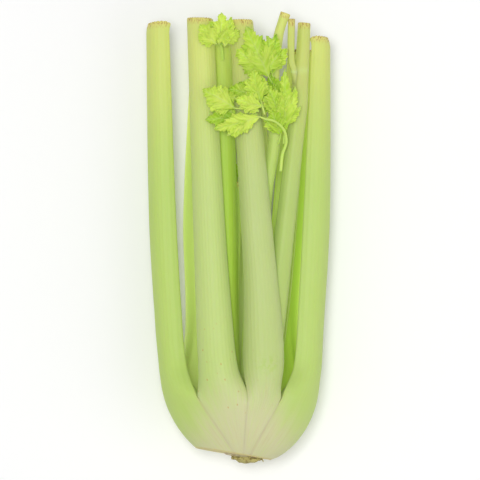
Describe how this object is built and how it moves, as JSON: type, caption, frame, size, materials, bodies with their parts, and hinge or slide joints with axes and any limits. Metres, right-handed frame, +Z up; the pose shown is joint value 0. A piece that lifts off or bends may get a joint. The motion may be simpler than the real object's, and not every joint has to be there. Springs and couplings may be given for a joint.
{
  "type": "head of celery",
  "caption": "Trimmed head of celery lying on its back: ribbed channelled stalks rising from a rounded base, cut level at the top, with a few small leaves in the heart.",
  "frame": {"origin": "middle of the bounding box's base, on the surface that the head lies on", "axes": "+Y along the head from the root to the cut tops, +X to the right seen from above with the tops away, +Z up, out of the side that shows the leafy heart"},
  "size_m": [0.1298, 0.3164, 0.0993],
  "materials": {
    "stalk": "fresh celery skin: pale yellow-green, cream at the base, satin, ribbed lengthwise",
    "inner_stalk": "young celery skin: a little greener and smoother than the outer stalks, satin",
    "crown": "cream cut flesh of the crown, moist satin",
    "root": "dry brown fibrous root stub, rough",
    "leaf": "thin bright yellow-green leaf with pale veins, soft satin",
    "leaf_stem": "thin smooth pale green stem, satin"
  },
  "bodies": {
    "root": {"stalk_left": "stalk", "stalk_front_left": "stalk", "stalk_front_right": "stalk", "stalk_right": "stalk", "stalk_back_right": "stalk", "stalk_back_middle": "stalk", "stalk_back_left": "stalk", "stalk_inner_left": "inner_stalk", "stalk_inner_right": "inner_stalk", "stalk_inner_back_right": "inner_stalk", "stalk_inner_back_left": "inner_stalk", "stalk_leafy": "inner_stalk", "stalk_heart_left": "inner_stalk", "stalk_heart_right": "inner_stalk", "crown": "crown", "root_stub": "root", "leaflet_upper": "leaf", "leaflet_beside_cut": "leaf", "leaflet_centre": "leaf", "leaflet_right": "leaf", "leaflet_left": "leaf", "leaflet_fold": "leaf", "leaflet_lower": "leaf", "leaflet_under": "leaf", "leaflet_behind": "leaf", "leaflet_curled": "leaf", "leaflet_inside": "leaf", "leaflet_low_right": "leaf", "leaflet_tuft_left": "leaf", "leaflet_tuft_middle": "leaf", "leaflet_tuft_right": "leaf", "leaflet_heart_left": "leaf", "leaflet_heart_right": "leaf", "leaf_stem_front": "leaf_stem", "leaf_stem_tuft": "leaf_stem"}
  },
  "joints": []
}
